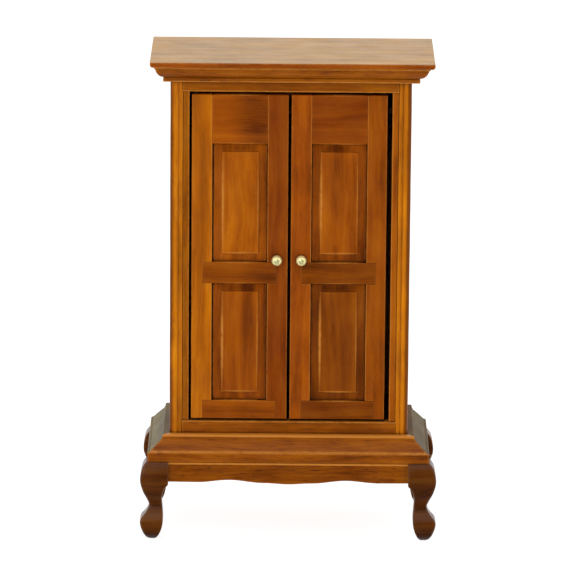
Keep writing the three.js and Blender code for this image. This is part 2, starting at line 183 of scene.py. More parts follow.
def grain_pattern(tree, given):
    """The tone from 0, dark, to 1, light, with the fibres and the mask of the pores."""
    wander = stretched_noise(tree, given["Place"], 0.05, 0.016, detail=2.0).outputs["Color"]
    bent = node(tree, "ShaderNodeVectorMath", {0: wander, 1: (9.0, 9.0, 0.0), 2: given["Place"]},
                operation="MULTIPLY_ADD").outputs[0]
    bands = stretched_noise(tree, bent, 0.30, 0.010, detail=2.0).outputs[0]
    fibres = stretched_noise(tree, bent, 1.9, 0.05, detail=4.0, roughness=0.7).outputs[0]
    pores = stretched_noise(tree, bent, 3.0, 0.22, detail=2.0, roughness=0.6).outputs[0]
    blotches = stretched_noise(tree, given["Place"], 0.10, 0.045, detail=4.0).outputs[0]

    tone = 0.55
    for pattern, amount in ((bands, "Bands"), (fibres, "Fibres"), (blotches, "Blotches")):
        centred = math_node(tree, "SUBTRACT", pattern, 0.5)
        weighed = math_node(tree, "MULTIPLY", centred, given[amount])
        tone = math_node(tree, "ADD", weighed, tone)
    tone = math_node(tree, "SUBTRACT", tone, given["Spots"])
    pore_mask = math_node(tree, "MULTIPLY", remap(tree, pores, 0.58, 0.70), given["Pores"], clamp=True)
    tone = math_node(tree, "SUBTRACT", tone, pore_mask)
    return tone, fibres, pore_mask


def corner_stain_and_shade(tree, given):
    """The mask of stain and painted shade in the corners and gaps, where ambient occlusion is strong."""
    corner = node(tree, "ShaderNodeAmbientOcclusion", {"Distance": 1.3 * MM}, samples=6).outputs["AO"]
    return math_node(tree, "MULTIPLY", remap(tree, corner, 0.30, 0.86, 1.0, 0.0), given["StainAndShade"])


def edge_wear_and_highlight(tree, given, stain_and_shade_mask):
    """The mask of worn edges with painted highlights, and of painted highlight lines, in uneven strokes."""
    edge = node(tree, "ShaderNodeAmbientOcclusion", {"Distance": 0.7 * MM}, samples=6, inside=True,
                only_local=True).outputs["AO"]
    strokes = stretched_noise(tree, given["Place"], 0.45, 0.45, detail=3.0).outputs[0]
    edge_mask = remap(tree, edge, 0.55, 0.92, 1.0, 0.0)
    wear_and_highlight = math_node(tree, "MULTIPLY", edge_mask, remap(tree, strokes, 0.30, 0.65, 0.25, 1.0))
    wear_and_highlight = math_node(tree, "MULTIPLY", wear_and_highlight, math_node(tree, "SUBTRACT", 1.0, stain_and_shade_mask))
    wear_and_highlight = math_node(tree, "MULTIPLY", wear_and_highlight, given["WearAndHighlight"])
    lines = math_node(tree, "MULTIPLY", remap(tree, strokes, 0.25, 0.60, 0.5, 1.0), given["Lines"])
    return math_node(tree, "ADD", wear_and_highlight, lines, clamp=True)


def with_painted_sheen(tree, given, tone, colour):
    """The colour with a streaky pale painted sheen where it is seen at a grazing angle."""
    grazing = node(tree, "ShaderNodeLayerWeight", {"Blend": 0.5}).outputs["Facing"]
    sheen_mask = math_node(tree, "MULTIPLY", remap(tree, grazing, 0.45, 0.85), given["GrazingSheen"], clamp=True)
    streaked = mix(tree, 1.0, given["SheenColour"], remap(tree, tone, 0.1, 1.0, 0.62, 1.26), "MULTIPLY")
    return mix(tree, sheen_mask, colour, streaked)


def wood_group():
    """Stained wood: grain, stain and painted shade in corners, wear and painted highlights on edges, and a
    painted sheen at a grazing angle.
    """
    tree = bpy.data.node_groups.new("stained_wood", "ShaderNodeTree")
    given = wood_sockets(tree)
    tone, fibres, pore_mask = grain_pattern(tree, given)
    colour = blend_by_tone(tree, tone, given["Dark"], given["Middle"], given["Light"])
    # Stain and painted shade in the corners and gaps
    stain_and_shade_mask = corner_stain_and_shade(tree, given)
    colour = mix(tree, stain_and_shade_mask, colour, STAIN_AND_SHADE_COLOUR)
    # Wear and painted highlights on the edges, and painted highlight lines
    colour = mix(tree, edge_wear_and_highlight(tree, given, stain_and_shade_mask), colour, WEAR_AND_HIGHLIGHT_COLOUR)
    # A painted sheen where the wood is seen at a grazing angle
    colour = with_painted_sheen(tree, given, tone, colour)

    smear = stretched_noise(tree, given["Place"], 0.25, 0.12, detail=4.0).outputs[0]
    rough = math_node(tree, "ADD", remap(tree, smear, 0.3, 0.7, -0.05, 0.05), given["Roughness"])
    rough = math_node(tree, "ADD", rough, math_node(tree, "MULTIPLY", pore_mask, 0.3))
    pits = math_node(tree, "MULTIPLY", pore_mask, -1.5)
    height = math_node(tree, "ADD", math_node(tree, "MULTIPLY", fibres, 0.5), pits)
    node(tree, "NodeGroupOutput", {"Color": colour, "Roughness": rough, "Height": height})
    return tree


# The colour of stain and painted shade in corners and gaps
STAIN_AND_SHADE_COLOUR = (0.022, 0.006, 0.001, 1.0)
# The colour of wear and painted highlights on edges and lines
WEAR_AND_HIGHLIGHT_COLOUR = (0.55, 0.20, 0.028, 1.0)
WOOD = wood_group()
# The turn that lays the pattern, whose grain runs along Z, along each axis
GRAIN_TURN = {"x": (0, math.radians(90), 0), "y": (math.radians(90), 0, 0), "z": (0, 0, 0)}
WOOD_TONES = {"Light": (0.52, 0.155, 0.002), "Middle": (0.34, 0.082, 0.001), "Dark": (0.115, 0.024, 0.001)}
WOOD_AMOUNTS = {"Bands": 1.0, "Fibres": 0.45, "Pores": 0.15, "Blotches": 1.1, "WearAndHighlight": 0.9, "StainAndShade": 0.9,
                "GrazingSheen": 0.0, "Roughness": 0.22}
BOARD_STEP = Vector((37.0, 91.0, 53.0))  # how far the pattern moves from one seed to the next


def tinted(colour, tint):
    """The colour with each channel multiplied by the tint's, and an alpha of 1."""
    return tuple(channel * share for channel, share in zip(colour, tint)) + (1.0,)


def spots(tree, place, patches):
    """How strong soft patches [centre, reach, strength] are, in millimetres."""
    total = 0.0
    for centre, reach, strength in patches:
        offset = node(tree, "ShaderNodeVectorMath", {0: place, 1: Vector(centre) * MM}, operation="SUBTRACT")
        shares = tuple(1 / (r * MM) for r in reach)
        scaled = node(tree, "ShaderNodeVectorMath", {0: offset.outputs[0], 1: shares}, operation="MULTIPLY")
        far = node(tree, "ShaderNodeVectorMath", {0: scaled.outputs[0]}, operation="LENGTH").outputs["Value"]
        total = math_node(tree, "ADD", remap(tree, far, 0.1, 1.0, strength, 0.0), total)
    return total


def behind_face(tree, place, steps):
    """How strong a painted shade [start, end, strength] is that sets in behind the doors' face, in
    millimetres.
    """
    total = 0.0
    depth = node(tree, "ShaderNodeSeparateXYZ", {0: place}).outputs["Y"]
    for start, end, strength in steps:
        step = remap(tree, depth, (DOOR_FACE_Y + start) * MM, (DOOR_FACE_Y + end) * MM, 0.0, strength)
        total = math_node(tree, "ADD", step, total)
    return total


def wood(name, grain, seed, tint=(1, 1, 1), patches=(), sunk=(), lines=(), bloom=(0.30, 0.15, 0.003),
         gloss=0.1, **amounts):
    """A wood material for one piece; grain is the axis it runs along and seed picks its own board.
    Patches are darker stain and painted shade, and lines are painted highlights, as [centre, reach,
    strength] in millimetres;
    sunk is painted shade behind the doors' face; bloom is the colour of the painted sheen at a grazing
    angle; gloss is how strongly the wood mirrors."""
    material = bpy.data.materials.new(name)
    material.use_nodes = True
    tree = material.node_tree
    tree.nodes.clear()
    place = node(tree, "ShaderNodeTexCoord").outputs["Object"]
    laid = {"Vector": place, "Location": BOARD_STEP * seed, "Rotation": GRAIN_TURN[grain],
            "Scale": (1 / MM, 1 / MM, 1 / MM)}
    inputs = {"Place": node(tree, "ShaderNodeMapping", laid).outputs[0], "SheenColour": bloom + (1.0,)}
    inputs.update({tone: tinted(colour, tint) for tone, colour in WOOD_TONES.items()})
    inputs.update(WOOD_AMOUNTS | amounts)
    inputs["Spots"] = math_node(tree, "ADD", spots(tree, place, patches), behind_face(tree, place, sunk))
    inputs["Lines"] = spots(tree, place, lines)
    group = tree.nodes.new("ShaderNodeGroup")
    group.node_tree = WOOD
    for key, value in inputs.items():
        if isinstance(value, bpy.types.NodeSocket):
            tree.links.new(value, group.inputs[key])
        else:
            group.inputs[key].default_value = value
    bump = node(tree, "ShaderNodeBump", {"Strength": 0.3, "Distance": 0.03 * MM,
                                         "Height": group.outputs["Height"]})
    surface = node(tree, "ShaderNodeBsdfPrincipled", {
        "Base Color": group.outputs["Color"], "Roughness": group.outputs["Roughness"],
        "Specular IOR Level": gloss, "Normal": bump.outputs[0]})
    node(tree, "ShaderNodeOutputMaterial", {"Surface": surface.outputs[0]})
    return material


def metal(name, bright, dull, roughness):
    """Turned metal with faint tarnish."""
    material = bpy.data.materials.new(name)
    material.use_nodes = True
    tree = material.node_tree
    tree.nodes.clear()
    place = node(tree, "ShaderNodeTexCoord").outputs["Object"]
    mapped = node(tree, "ShaderNodeMapping", {"Vector": place, "Scale": (1 / MM, 1 / MM, 1 / MM)}).outputs[0]
    tarnish = stretched_noise(tree, mapped, 1.2, 1.2, detail=4.0).outputs[0]
    colour = mix(tree, remap(tree, tarnish, 0.40, 0.75), bright, dull)
    surface = node(tree, "ShaderNodeBsdfPrincipled", {
        "Base Color": colour, "Metallic": 0.62,
        "Roughness": remap(tree, tarnish, 0.3, 0.7, roughness, roughness + 0.12)})
    node(tree, "ShaderNodeOutputMaterial", {"Surface": surface.outputs[0]})
    return material


def brass():
    return metal("brass", (1.0, 0.97, 0.52, 1.0), (1.0, 0.88, 0.30, 1.0), 0.08)


def dark_metal():
    return metal("dark_metal", (0.03, 0.02, 0.01, 1.0), (0.015, 0.01, 0.007, 1.0), 0.6)


def post_shade(side, edge_shade):
    """Painted shade along a post's outer edge, which turns away from the light, and in its groove; darker
    over its bead.
    """
    low, high = box("right_front_post")
    return [((side * high.x, FACE_Y, low.z), (2.0, 4.0, ENDLESS), edge_shade),
            ((side * (low.x + POST_GROOVE), FACE_Y, low.z), (0.6, 4.0, ENDLESS), 0.20),
            ((side * (low.x + 0.5 * POST_GROOVE), FACE_Y, low.z), (0.9, 4.0, ENDLESS), 0.15)]


# How each piece of wood differs: its own board (seed), tint, dark patches [centre, reach, strength] in
# millimetres, which are stain on the door rails and painted shade on the legs and posts, and changes to the
# usual amounts of grain, blotches, wear and painted highlight, stain and painted shade, and painted sheen. A
# panel's gap is how far it is kept from its frame on the left and on the right, in millimetres.
# A leg's patches are painted shade on its shin, which faces down, and low on its foot near the floor.
LEG_LOOK = {"tint": (0.28, 0.30, 1.4), "Bands": 1.3, "Blotches": 1.2, "WearAndHighlight": 0.3, "gloss": 0.25,
            "patches": [((0.0, 0.0, 15.5), (ENDLESS, ENDLESS, 6.5), 0.40),
                        ((0.0, 0.0, 1.5), (ENDLESS, ENDLESS, 5.0), 0.35)]}
# A panel gets painted shade behind the door's face: a little on its slope and much on its tongue in the gap.
PANEL_LOOK = {"sunk": [(0.45, 0.95, 0.19), (1.25, 1.5, 0.9)], "WearAndHighlight": 0.5}
INSIDE_LOOK = {"tint": (0.22, 0.25, 0.8), "WearAndHighlight": 0.1, "Roughness": 0.5}
MOULDED = {"Fibres": 0.9, "Pores": 0.4, "StainAndShade": 0.3, "WearAndHighlight": 0.3, "gloss": 0.15}
APRON_LOOK = {"tint": (0.60, 0.57, 1.0), "Fibres": 1.1, "Pores": 0.6, "StainAndShade": 0.1, "WearAndHighlight": 0.4}
POST_LOOK = {"Bands": 0.5, "Fibres": 0.6, "Blotches": 1.0, "WearAndHighlight": 0.3}
# The sides of the base moulding get a painted sheen at a grazing angle.
SIDE_RETURN = {"GrazingSheen": 0.9, "WearAndHighlight": 0.3, "tint": (0.72, 0.80, 1.0)}
CORNICE = {"tint": (0.72, 0.72, 1.0), **MOULDED}
STILE = {"WearAndHighlight": 0.2}
RAIL = {"WearAndHighlight": 0.12}
LEGS = ("leg_front_right", "leg_back_right", "leg_back_left", "leg_front_left")
INSIDE = ("case_floor", "door_stop", "hat_shelf", "shelf_cleat_left", "shelf_cleat_right", "hanging_rail",
          "rail_socket_left", "rail_socket_right")
LOOKS = {
    # The top board gets a painted sheen at a grazing angle.
    "top_board": {"seed": 1.0, "tint": (0.75, 0.60, 1.0), "Bands": 0.9, "GrazingSheen": 1.0, "gloss": 0.12,
                  "bloom": (0.44, 0.205, 0.009)},
    "cornice_front": {"seed": 2.0, **CORNICE},
    "cornice_left": {"seed": 3.0, **CORNICE},
    "cornice_right": {"seed": 4.0, **CORNICE},
    "base_moulding_front": {"seed": 6.0, "tint": (0.75, 0.73, 1.0), **MOULDED},
    # Painted sheen on the base moulding's sides, brighter on the left side than on the right.
    "base_moulding_left": {"seed": 7.0, "bloom": (0.12, 0.10, 0.02), "gloss": 0.022, **SIDE_RETURN},
    "base_moulding_right": {"seed": 8.0, "bloom": (0.086, 0.062, 0.010), "gloss": 0.011, **SIDE_RETURN},
    # The posts get painted shade along their outer edges and in their grooves.
    "left_front_post": {"seed": 9.0, "tint": (1.48, 1.80, 1.6), **POST_LOOK,
                        "patches": post_shade(-1, 0.70)},
    "right_front_post": {"seed": 11.0, "tint": (1.60, 1.95, 1.3), **POST_LOOK,
                         "patches": post_shade(1, 0.95)},
    "left_jamb_strip": {"seed": 12.0, "tint": (0.80, 0.88, 1.0)},
    "right_jamb_strip": {"seed": 13.0, "tint": (0.93, 0.88, 1.0)},
    "top_rail": {"seed": 14.0, "tint": (0.73, 0.74, 1.0), "Fibres": 0.7},
    "bottom_rail": {"seed": 15.0, "tint": (0.84, 0.87, 1.0), "Fibres": 0.7},
    "left_side_panel": {"seed": 16.0, "tint": (0.80, 0.85, 1.0)},
    "right_side_panel": {"seed": 17.0, "tint": (0.80, 0.85, 1.0)},
    "base_board": {"seed": 18.0, "tint": (0.70, 0.70, 1.0)},
    "back_apron": {"seed": 19.0, "tint": (0.60, 0.65, 1.0)},
    "back_panel": {"seed": 20.0, "tint": (0.8, 0.95, 1.5), "WearAndHighlight": 0.2, "Roughness": 0.5},
    "front_apron": {"seed": 21.0, **APRON_LOOK},
    "left_apron": {"seed": 22.0, **APRON_LOOK},
    "right_apron": {"seed": 23.0, **APRON_LOOK},
    "left_hinge_stile": {"seed": 41.0, **STILE, "tint": (1.18, 1.25, 1.0), "Blotches": 0.7},
    "left_meeting_stile": {"seed": 42.0, **STILE, "tint": (0.58, 0.44, 1.0)},
    "right_meeting_stile": {"seed": 43.0, **STILE, "tint": (0.87, 0.73, 1.0)},
    "right_hinge_stile": {"seed": 44.0, **STILE, "tint": (0.76, 0.67, 1.0)},
    "left_door_top_rail": {"seed": 45.0, **RAIL, "tint": (0.96, 0.86, 1.0), "Blotches": 0.6,
                           "Bands": 0.6, "patches": [((-12.0, FACE_Y, 158.0), (13.0, 6.0, 26.0), 0.36)]},
    "left_door_lock_rail": {"seed": 46.0, **RAIL, "tint": (0.66, 0.58, 1.0), "Blotches": 0.5,
                            "patches": [((-9.0, FACE_Y, 97.0), (11.0, 6.0, 10.0), 0.24)]},
    "left_door_bottom_rail": {"seed": 47.0, **RAIL, "tint": (0.77, 0.68, 1.0)},
    "right_door_top_rail": {"seed": 48.0, **RAIL, "tint": (0.61, 0.47, 1.0)},
    "right_door_lock_rail": {"seed": 49.0, **RAIL, "tint": (0.57, 0.51, 1.0)},
    "right_door_bottom_rail": {"seed": 50.0, **RAIL, "tint": (0.53, 0.46, 1.0)},
    "left_upper_panel": {"seed": 51.0, "tint": (0.98, 0.93, 1.0), "gap": (0.45, 0.1), **PANEL_LOOK},
    "left_lower_panel": {"seed": 52.0, "Blotches": 0.7, "tint": (0.79, 0.69, 1.0),
                         "gap": (0.45, 0.1), **PANEL_LOOK},
    "right_upper_panel": {"seed": 53.0, "tint": (0.83, 0.74, 1.0), "gap": (0.1, 0.1), **PANEL_LOOK},
    "right_lower_panel": {"seed": 54.0, "tint": (0.61, 0.55, 1.0), "gap": (0.1, 0.1), **PANEL_LOOK},
}
LOOKS |= {name: {"seed": 31.0 + i, **LEG_LOOK} for i, name in enumerate(LEGS)}
LOOKS |= {name: {"seed": 60.0 + i, **INSIDE_LOOK} for i, name in enumerate(INSIDE)}


def looked_wood(name, grain, **more):
    """The wood of one piece, from the table and with whatever patches or lines its shape gives it."""
    look = {key: value for key, value in LOOKS[name].items() if key != "gap"}
    return wood(f"wood_{name}", grain, **(look | more))


def front_line(z, strength, x=0.0, length=ENDLESS, width=0.6):
    """A painted highlight line at a height along the front."""
    return ((x, FACE_Y, z), (length, ALL_FRONTS, width), strength)


def upright_line(x, strength):
    """A painted highlight line from top to bottom at one place along the front."""
    return ((x, FACE_Y, 0.0), (0.45, ALL_FRONTS, 10 * ENDLESS), strength)


# Meshes
def add_piece(name, points, faces, material, node_name):
    """A mesh from points in millimetres; it rides with the CAD node it stands for."""
    mesh = bpy.data.meshes.new(name)
    mesh.from_pydata([Vector(point) * MM for point in points], [], faces)
    mesh.materials.append(material)
    piece = bpy.data.objects.new(name, mesh)
    bpy.context.scene.collection.objects.link(piece)
    body, = body_of(frame["nodes"][node_name])
    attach(piece, body)
    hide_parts(node_name)
    return piece


def add_wood(name, points, faces, grain, slot, waviness=WAVINESS, wave=9.0, **more):
    """The wooden piece that stands for one CAD node, with that node's look."""
    points = wavy(points, LOOKS[name]["seed"], waviness, wave)
    return add_piece(f"shaped_{name}", points, faces, looked_wood(name, grain, **more), name)


def keep_flat(piece):
    """Smooth shading that leaves flat faces flat."""
    weighted = piece.modifiers.new("flat_faces", "WEIGHTED_NORMAL")
    weighted.keep_sharp = True


def smooth(piece, angle=35):
    """Smooth shading, but for edges sharper than the angle."""
    piece.data.shade_smooth()
    piece.data.set_sharp_from_angle(angle=math.radians(angle))
    keep_flat(piece)


def wavy(points, seed, amount, wave):
    """Hand work: no face is quite flat. Amount and wave length are in millimetres."""
    shift = Vector((seed * 17.3, seed * 5.1, seed * 11.7))
    return [Vector(p) + noise.noise_vector(Vector(p) / wave + shift) * amount for p in points]


def even(start, end, steps):
    """Places at equal distances, both ends included."""
    return [start + (end - start) * i / steps for i in range(steps + 1)]


def spaced(cuts, spacing=GRID):
    """The cuts, with more between them so that no stretch is longer than the spacing."""
    filled = [cuts[0]]
    for start, end in zip(cuts, cuts[1:]):
        filled += even(start, end, max(1, math.ceil((end - start) / spacing)))[1:]
    return filled


def loft(rings):
    """Points and faces of a closed skin through rings of equal length, each ring counter-clockwise
    when seen from the last ring."""
    count = len(rings[0])
    points = [point for ring in rings for point in ring]
    faces = []
    for i in range(len(rings) - 1):
        for j in range(count):
            k = (j + 1) % count
            faces.append((i * count + j, i * count + k, (i + 1) * count + k, (i + 1) * count + j))
    last = (len(rings) - 1) * count
    faces.append(tuple(reversed(range(count))))
    faces.append(tuple(range(last, last + count)))
    return points, faces


def rounded(corners, steps=EDGE_STEPS):
    """A closed outline from corners [x, y, radius]; each round corner becomes a short curve."""
    outline = []
    for i, (x, y, radius) in enumerate(corners):
        here = Vector((x, y))
        if radius == 0:
            outline.append(here)
            continue
        before = Vector(corners[i - 1][:2]) - here
        after = Vector(corners[(i + 1) % len(corners)][:2]) - here
        reach = radius / math.tan(before.angle(after) / 2)
        start = here + before.normalized() * min(reach, before.length * 0.5)
        end = here + after.normalized() * min(reach, after.length * 0.5)
        outline += bow(start, here, end, steps)
    return outline


def bow(start, pull, end, steps=8):
    """Points along a curve from start to end that leans towards pull."""
    return [start * (1 - t) ** 2 + pull * 2 * t * (1 - t) + end * t ** 2 for t in even(0, 1, steps)]


def rounded_rectangle(low, high, radius):
    """Counter-clockwise from low, low."""
    corners = [(low[0], low[1], radius), (high[0], low[1], radius),
               (high[0], high[1], radius), (low[0], high[1], radius)]
    return rounded(corners)


def quarter_round(radius, steps=EDGE_STEPS):
    """[distance from one face, distance from the other] along an edge rounded between two faces."""
    angles = even(0, math.radians(90), steps)
    return [(radius * (1 - math.sin(a)), radius * (1 - math.cos(a))) for a in angles]


def around(firsts, seconds):
    """Pairs round a rectangle, counter-clockwise from its low corner."""
    out = [(u, seconds[0]) for u in firsts[:-1]] + [(firsts[-1], v) for v in seconds[:-1]]
    home = [(u, seconds[-1]) for u in reversed(firsts[1:])] + [(firsts[0], v) for v in reversed(seconds[1:])]
    return out + home


# An axis as a number, and the two that follow it
AXES = {"x": (0, 1, 2), "y": (1, 2, 0), "z": (2, 0, 1)}


def board(name, grain, radius, slot, lines):
    """A board with rounded edges and ends, lofted along its grain."""
    low, high = box(name)
    run, first, second = AXES[grain]
    start, end = low[run], high[run]
    turn = quarter_round(radius)
    least_radius = 0.02
    places = [(start + d, inset) for d, inset in reversed(turn)]
    places += [(at, 0.0) for at in spaced([start + radius, end - radius])[1:-1]]
    places += [(end - d, inset) for d, inset in turn]
    rings = []
    for at, inset in places:
        section = rounded_rectangle((low[first] + inset, low[second] + inset),
                                    (high[first] - inset, high[second] - inset),
                                    max(radius - inset, least_radius))
        ring = []
        for u, v in section:
            point = [0.0, 0.0, 0.0]
            point[run], point[first], point[second] = at, u, v
            ring.append(point)
        rings.append(ring)
    points, faces = loft(rings)
    smooth(add_wood(name, points, faces, grain, slot, lines=lines))


def cell_skin(cuts, solid):
    """The skin, as a bmesh, around the cells between the cuts whose centre is solid."""
    sizes = [len(places) - 1 for places in cuts]
    mesh = bmesh.new()
    made = {}

    def is_solid(cell):
        if not all(0 <= index < size for index, size in zip(cell, sizes)):
            return False
        centre = [(places[i] + places[i + 1]) / 2 for places, i in zip(cuts, cell)]
        return solid(*centre)

    def corner(index):
        if index not in made:
            made[index] = mesh.verts.new([places[i] for places, i in zip(cuts, index)])
        return made[index]

    def add_face(cell, axis, side):
        u, v = (axis + 1) % 3, (axis + 2) % 3
        corners = []
        for du, dv in ((0, 0), (1, 0), (1, 1), (0, 1)):
            index = list(cell)
            index[axis] += side
            index[u] += du
            index[v] += dv
            corners.append(corner(tuple(index)))
        mesh.faces.new(corners if side else reversed(corners))

    for cell in itertools.product(*(range(size) for size in sizes)):
        if not is_solid(cell):
            continue
        for axis, side in itertools.product(range(3), (0, 1)):
            neighbour = list(cell)
            neighbour[axis] += 2 * side - 1
            if not is_solid(neighbour):
                add_face(cell, axis, side)
    mesh.normal_update()
    return mesh


def joinery(name, cuts, solid, edge_radius, grain, lines):
    """A door piece with square joints: the skin around its solid cells, with its outward edges
    rounded as edge_radius says for each edge's middle."""
    mesh = cell_skin(cuts, solid)
    mesh.verts.index_update()
    weights = {}
    for edge in mesh.edges:
        outward = edge.calc_face_angle_signed(0.0) > math.radians(30)
        middle = (edge.verts[0].co + edge.verts[1].co) / 2
        ends = frozenset(vert.index for vert in edge.verts)
        weights[ends] = edge_radius(middle) / ARRIS if outward else 0.0
    points = [vert.co.copy() for vert in mesh.verts]
    faces = [[vert.index for vert in face.verts] for face in mesh.faces]
    mesh.free()
    piece = add_wood(name, points, faces, grain, "door_wood", lines=lines)
    piece.data.shade_smooth()
    weight = piece.data.attributes.new("bevel_weight_edge", "FLOAT", "EDGE")
    for edge in piece.data.edges:
        weight.data[edge.index].value = weights[frozenset(edge.vertices)]
    bevel = piece.modifiers.new("arrises", "BEVEL")
    bevel.limit_method = "WEIGHT"
    bevel.width = ARRIS * MM
    bevel.segments = 3
    bevel.use_clamp_overlap = False
    keep_flat(piece)


# The case
def top_board():
    """A flat board whose front and end edges are rounded more below than above; it sits askew."""
    radius_above, radius_below = 0.25, 1.4
    rounded_back = 0.3  # as a share of the rounding in front
    levels = [(inset, TOP_UNDER + rise) for inset, rise in quarter_round(radius_below, 4)]
    levels += [(inset, top_high.z - drop) for drop, inset in quarter_round(radius_above)]
    rings = []
    for inset, z in levels:
        xs = spaced([top_low.x + inset + ASKEW, top_high.x - inset + ASKEW], 2 * GRID)
        ys = spaced([top_low.y + inset, top_high.y - rounded_back * inset], 2 * GRID)
        rings.append([(x, y, z) for x, y in around(xs, ys)])
    points, faces = loft(rings)
    smooth(add_wood("top_board", points, faces, "x", "case_wood"))


def cornice_profile():
    """[reach, height] from the case outwards: soffit, fillet, quirk, flat quarter round and lip."""
    ovolo_foot = Vector((3.1, CORNICE_FOOT + 2.3))
    bulge = Vector((4.9, CORNICE_FOOT + 3.0))
    ovolo_head = Vector((5.6, TOP_UNDER - 0.9))
    lower = rounded([(0, CORNICE_FOOT, 0), (0.3, CORNICE_FOOT, 0), (2.7, CORNICE_FOOT + 0.45, 0.5),
                     (2.7, CORNICE_FOOT + 1.8, 0.12), (2.5, CORNICE_FOOT + 2.1, 0)], 4)
    upper = rounded([(5.7, TOP_UNDER - 0.55, 0), (6.1, TOP_UNDER - 0.5, 0.2), (6.1, TOP_UNDER, 0),
                     (0, TOP_UNDER, 0)])
    return lower + bow(ovolo_foot, bulge, ovolo_head) + upper


def base_profile():
    """[reach, height] from the floor side up: fascia, nose, cove and top fillet."""
    nose = BASE_NOSE - 0.3
    lower = rounded([(0, LEG_TOP, 0), (BASE_REACH, LEG_TOP, 0.25), (BASE_REACH, nose, 0.6),
                     (BASE_REACH - 0.75, nose + 0.35, 0)], 4)
    cove = bow(Vector((BASE_REACH - 0.95, nose + 0.35)), Vector((5.0, nose + 2.2)),
               Vector((2.85, BASE_TOP - 1.75)))
    upper = rounded([(2.8, BASE_TOP - 1.3, 0.0), (2.5, BASE_TOP - 1.1, 0.0), (2.5, BASE_TOP, 0.6),
                     (0, BASE_TOP, 0)], 4)
    return lower + cove + upper


def moulding(name, profile, run, lines):
    """Runs the profile along one side of the case; run says where a point of it is."""
    rings = [[run(reach, height, share) for reach, height in profile] for share in even(0, 1, 24)]
    points, faces = loft(rings)
    grain = "x" if name.endswith("front") else "y"
    smooth(add_wood(name, points, faces, grain, "case_wood", lines=lines), 28)


def overhang(reach, height, side):
    """How far a moulding stands out at one side of the case; the cornice sits askew like the top."""
    lean = ASKEW * reach / BASE_REACH if height > CORNICE_FOOT else 0.0
    return HALF_CASE + reach + side * lean


# Where a point of a moulding's profile is, at a share of the way along each side of the case
def front_run(reach, height, share):
    left, right = -overhang(reach, height, -1), overhang(reach, height, 1)
    return (right + (left - right) * share, FACE_Y - reach, height)


def left_run(reach, height, share):
    front = FACE_Y - reach
    return (-overhang(reach, height, -1), front + (BACK_Y - front) * share, height)


def right_run(reach, height, share):
    front = FACE_Y - reach
    return (overhang(reach, height, 1), BACK_Y + (front - BACK_Y) * share, height)


def mouldings():
    """The cornice and the base moulding, with painted highlight lines along their front arrises."""
    cornice_lines = [front_line(CORNICE_FOOT + 0.5, 0.7), front_line(TOP_UNDER - 0.2, 0.5)]
    base_lines = [front_line(BASE_NOSE, 0.9), front_line(BASE_TOP - 0.2, 2.2, width=0.9)]
    for side, run in (("front", front_run), ("left", left_run), ("right", right_run)):
        moulding(f"cornice_{side}", cornice_profile(), run, cornice_lines if side == "front" else ())
        moulding(f"base_moulding_{side}", base_profile(), run, base_lines if side == "front" else ())


def post_section(side):
    """The outline of a post seen from above, counter-clockwise: bead, groove and broad reed."""
    low, high = box("right_front_post")
    inner, outer, back = low.x, high.x, high.y
    groove, groove_width = inner + POST_GROOVE, 0.05
    sunk_y, bead_rise, reed_rise = FACE_Y + 0.5, 0.3136, 0.49
    steps = 8
    section = []
    for start, end, rise in ((inner, groove, bead_rise), (groove, outer - 0.5, reed_rise)):
        for t in even(0, 1, steps):
            section.append((start + (end - start) * t, sunk_y - rise * 4 * t * (1 - t)))
    section[steps + 1] = (groove + groove_width, sunk_y)
    section += [(outer - 0.15, sunk_y + 0.25), (outer, sunk_y + 0.7), (outer, back), (inner, back)]
    outline = [(side * x, y) for x, y in section]
    return outline if side > 0 else list(reversed(outline))


def posts():
    for hand in HANDS:
        name = f"{hand}_front_post"
        low, high = box(name)
        section = post_section(SIDE[hand])
        points, faces = loft([[(x, y, z) for x, y in section] for z in spaced([low.z, high.z])])
        smooth(add_wood(name, points, faces, "z", "case_wood", 0.06), 30)


def case_boards():
    """The plain members of the case: [node, grain, rounding, slot]."""
    plain = [
        ("left_jamb_strip", "z", ARRIS, "case_wood"),
        ("right_jamb_strip", "z", ARRIS, "case_wood"),
        ("top_rail", "x", 0.3, "case_wood"),
        ("bottom_rail", "x", 0.3, "case_wood"),
        ("left_side_panel", "z", 0.2, "case_wood"),
        ("right_side_panel", "z", 0.2, "case_wood"),
        ("base_board", "x", 0.2, "case_wood"),
        ("back_apron", "x", 0.3, "case_wood"),
        ("back_panel", "z", 0.15, "inside_wood"),
    ]
    # Painted highlight lines along the arrises of the rails and jamb strips
    lines = {"top_rail": [front_line(box("top_rail")[0].z, 0.7)],
             "bottom_rail": [front_line(box("bottom_rail")[1].z, 0.5)],
             "left_jamb_strip": [upright_line(box("left_jamb_strip")[1].x, 0.45)],
             "right_jamb_strip": [upright_line(box("right_jamb_strip")[0].x, 0.6)]}
    for name, grain, radius, slot in plain:
        board(name, grain, radius, slot, lines.get(name, ()))


def scallop(share):
    """How far an apron's lower edge rises, as the share of half its length goes from 0 to 1."""
    knots = [(0.0, 0.0), (0.2, 0.45), (0.48, 1.75), (0.76, 0.7), (1.0, 0.8)]
    for (a, low), (b, high) in zip(knots, knots[1:]):
        if share <= b:
            t = (share - a) / (b - a)
            return low + (high - low) * t * t * (3 - 2 * t)
    return knots[-1][1]


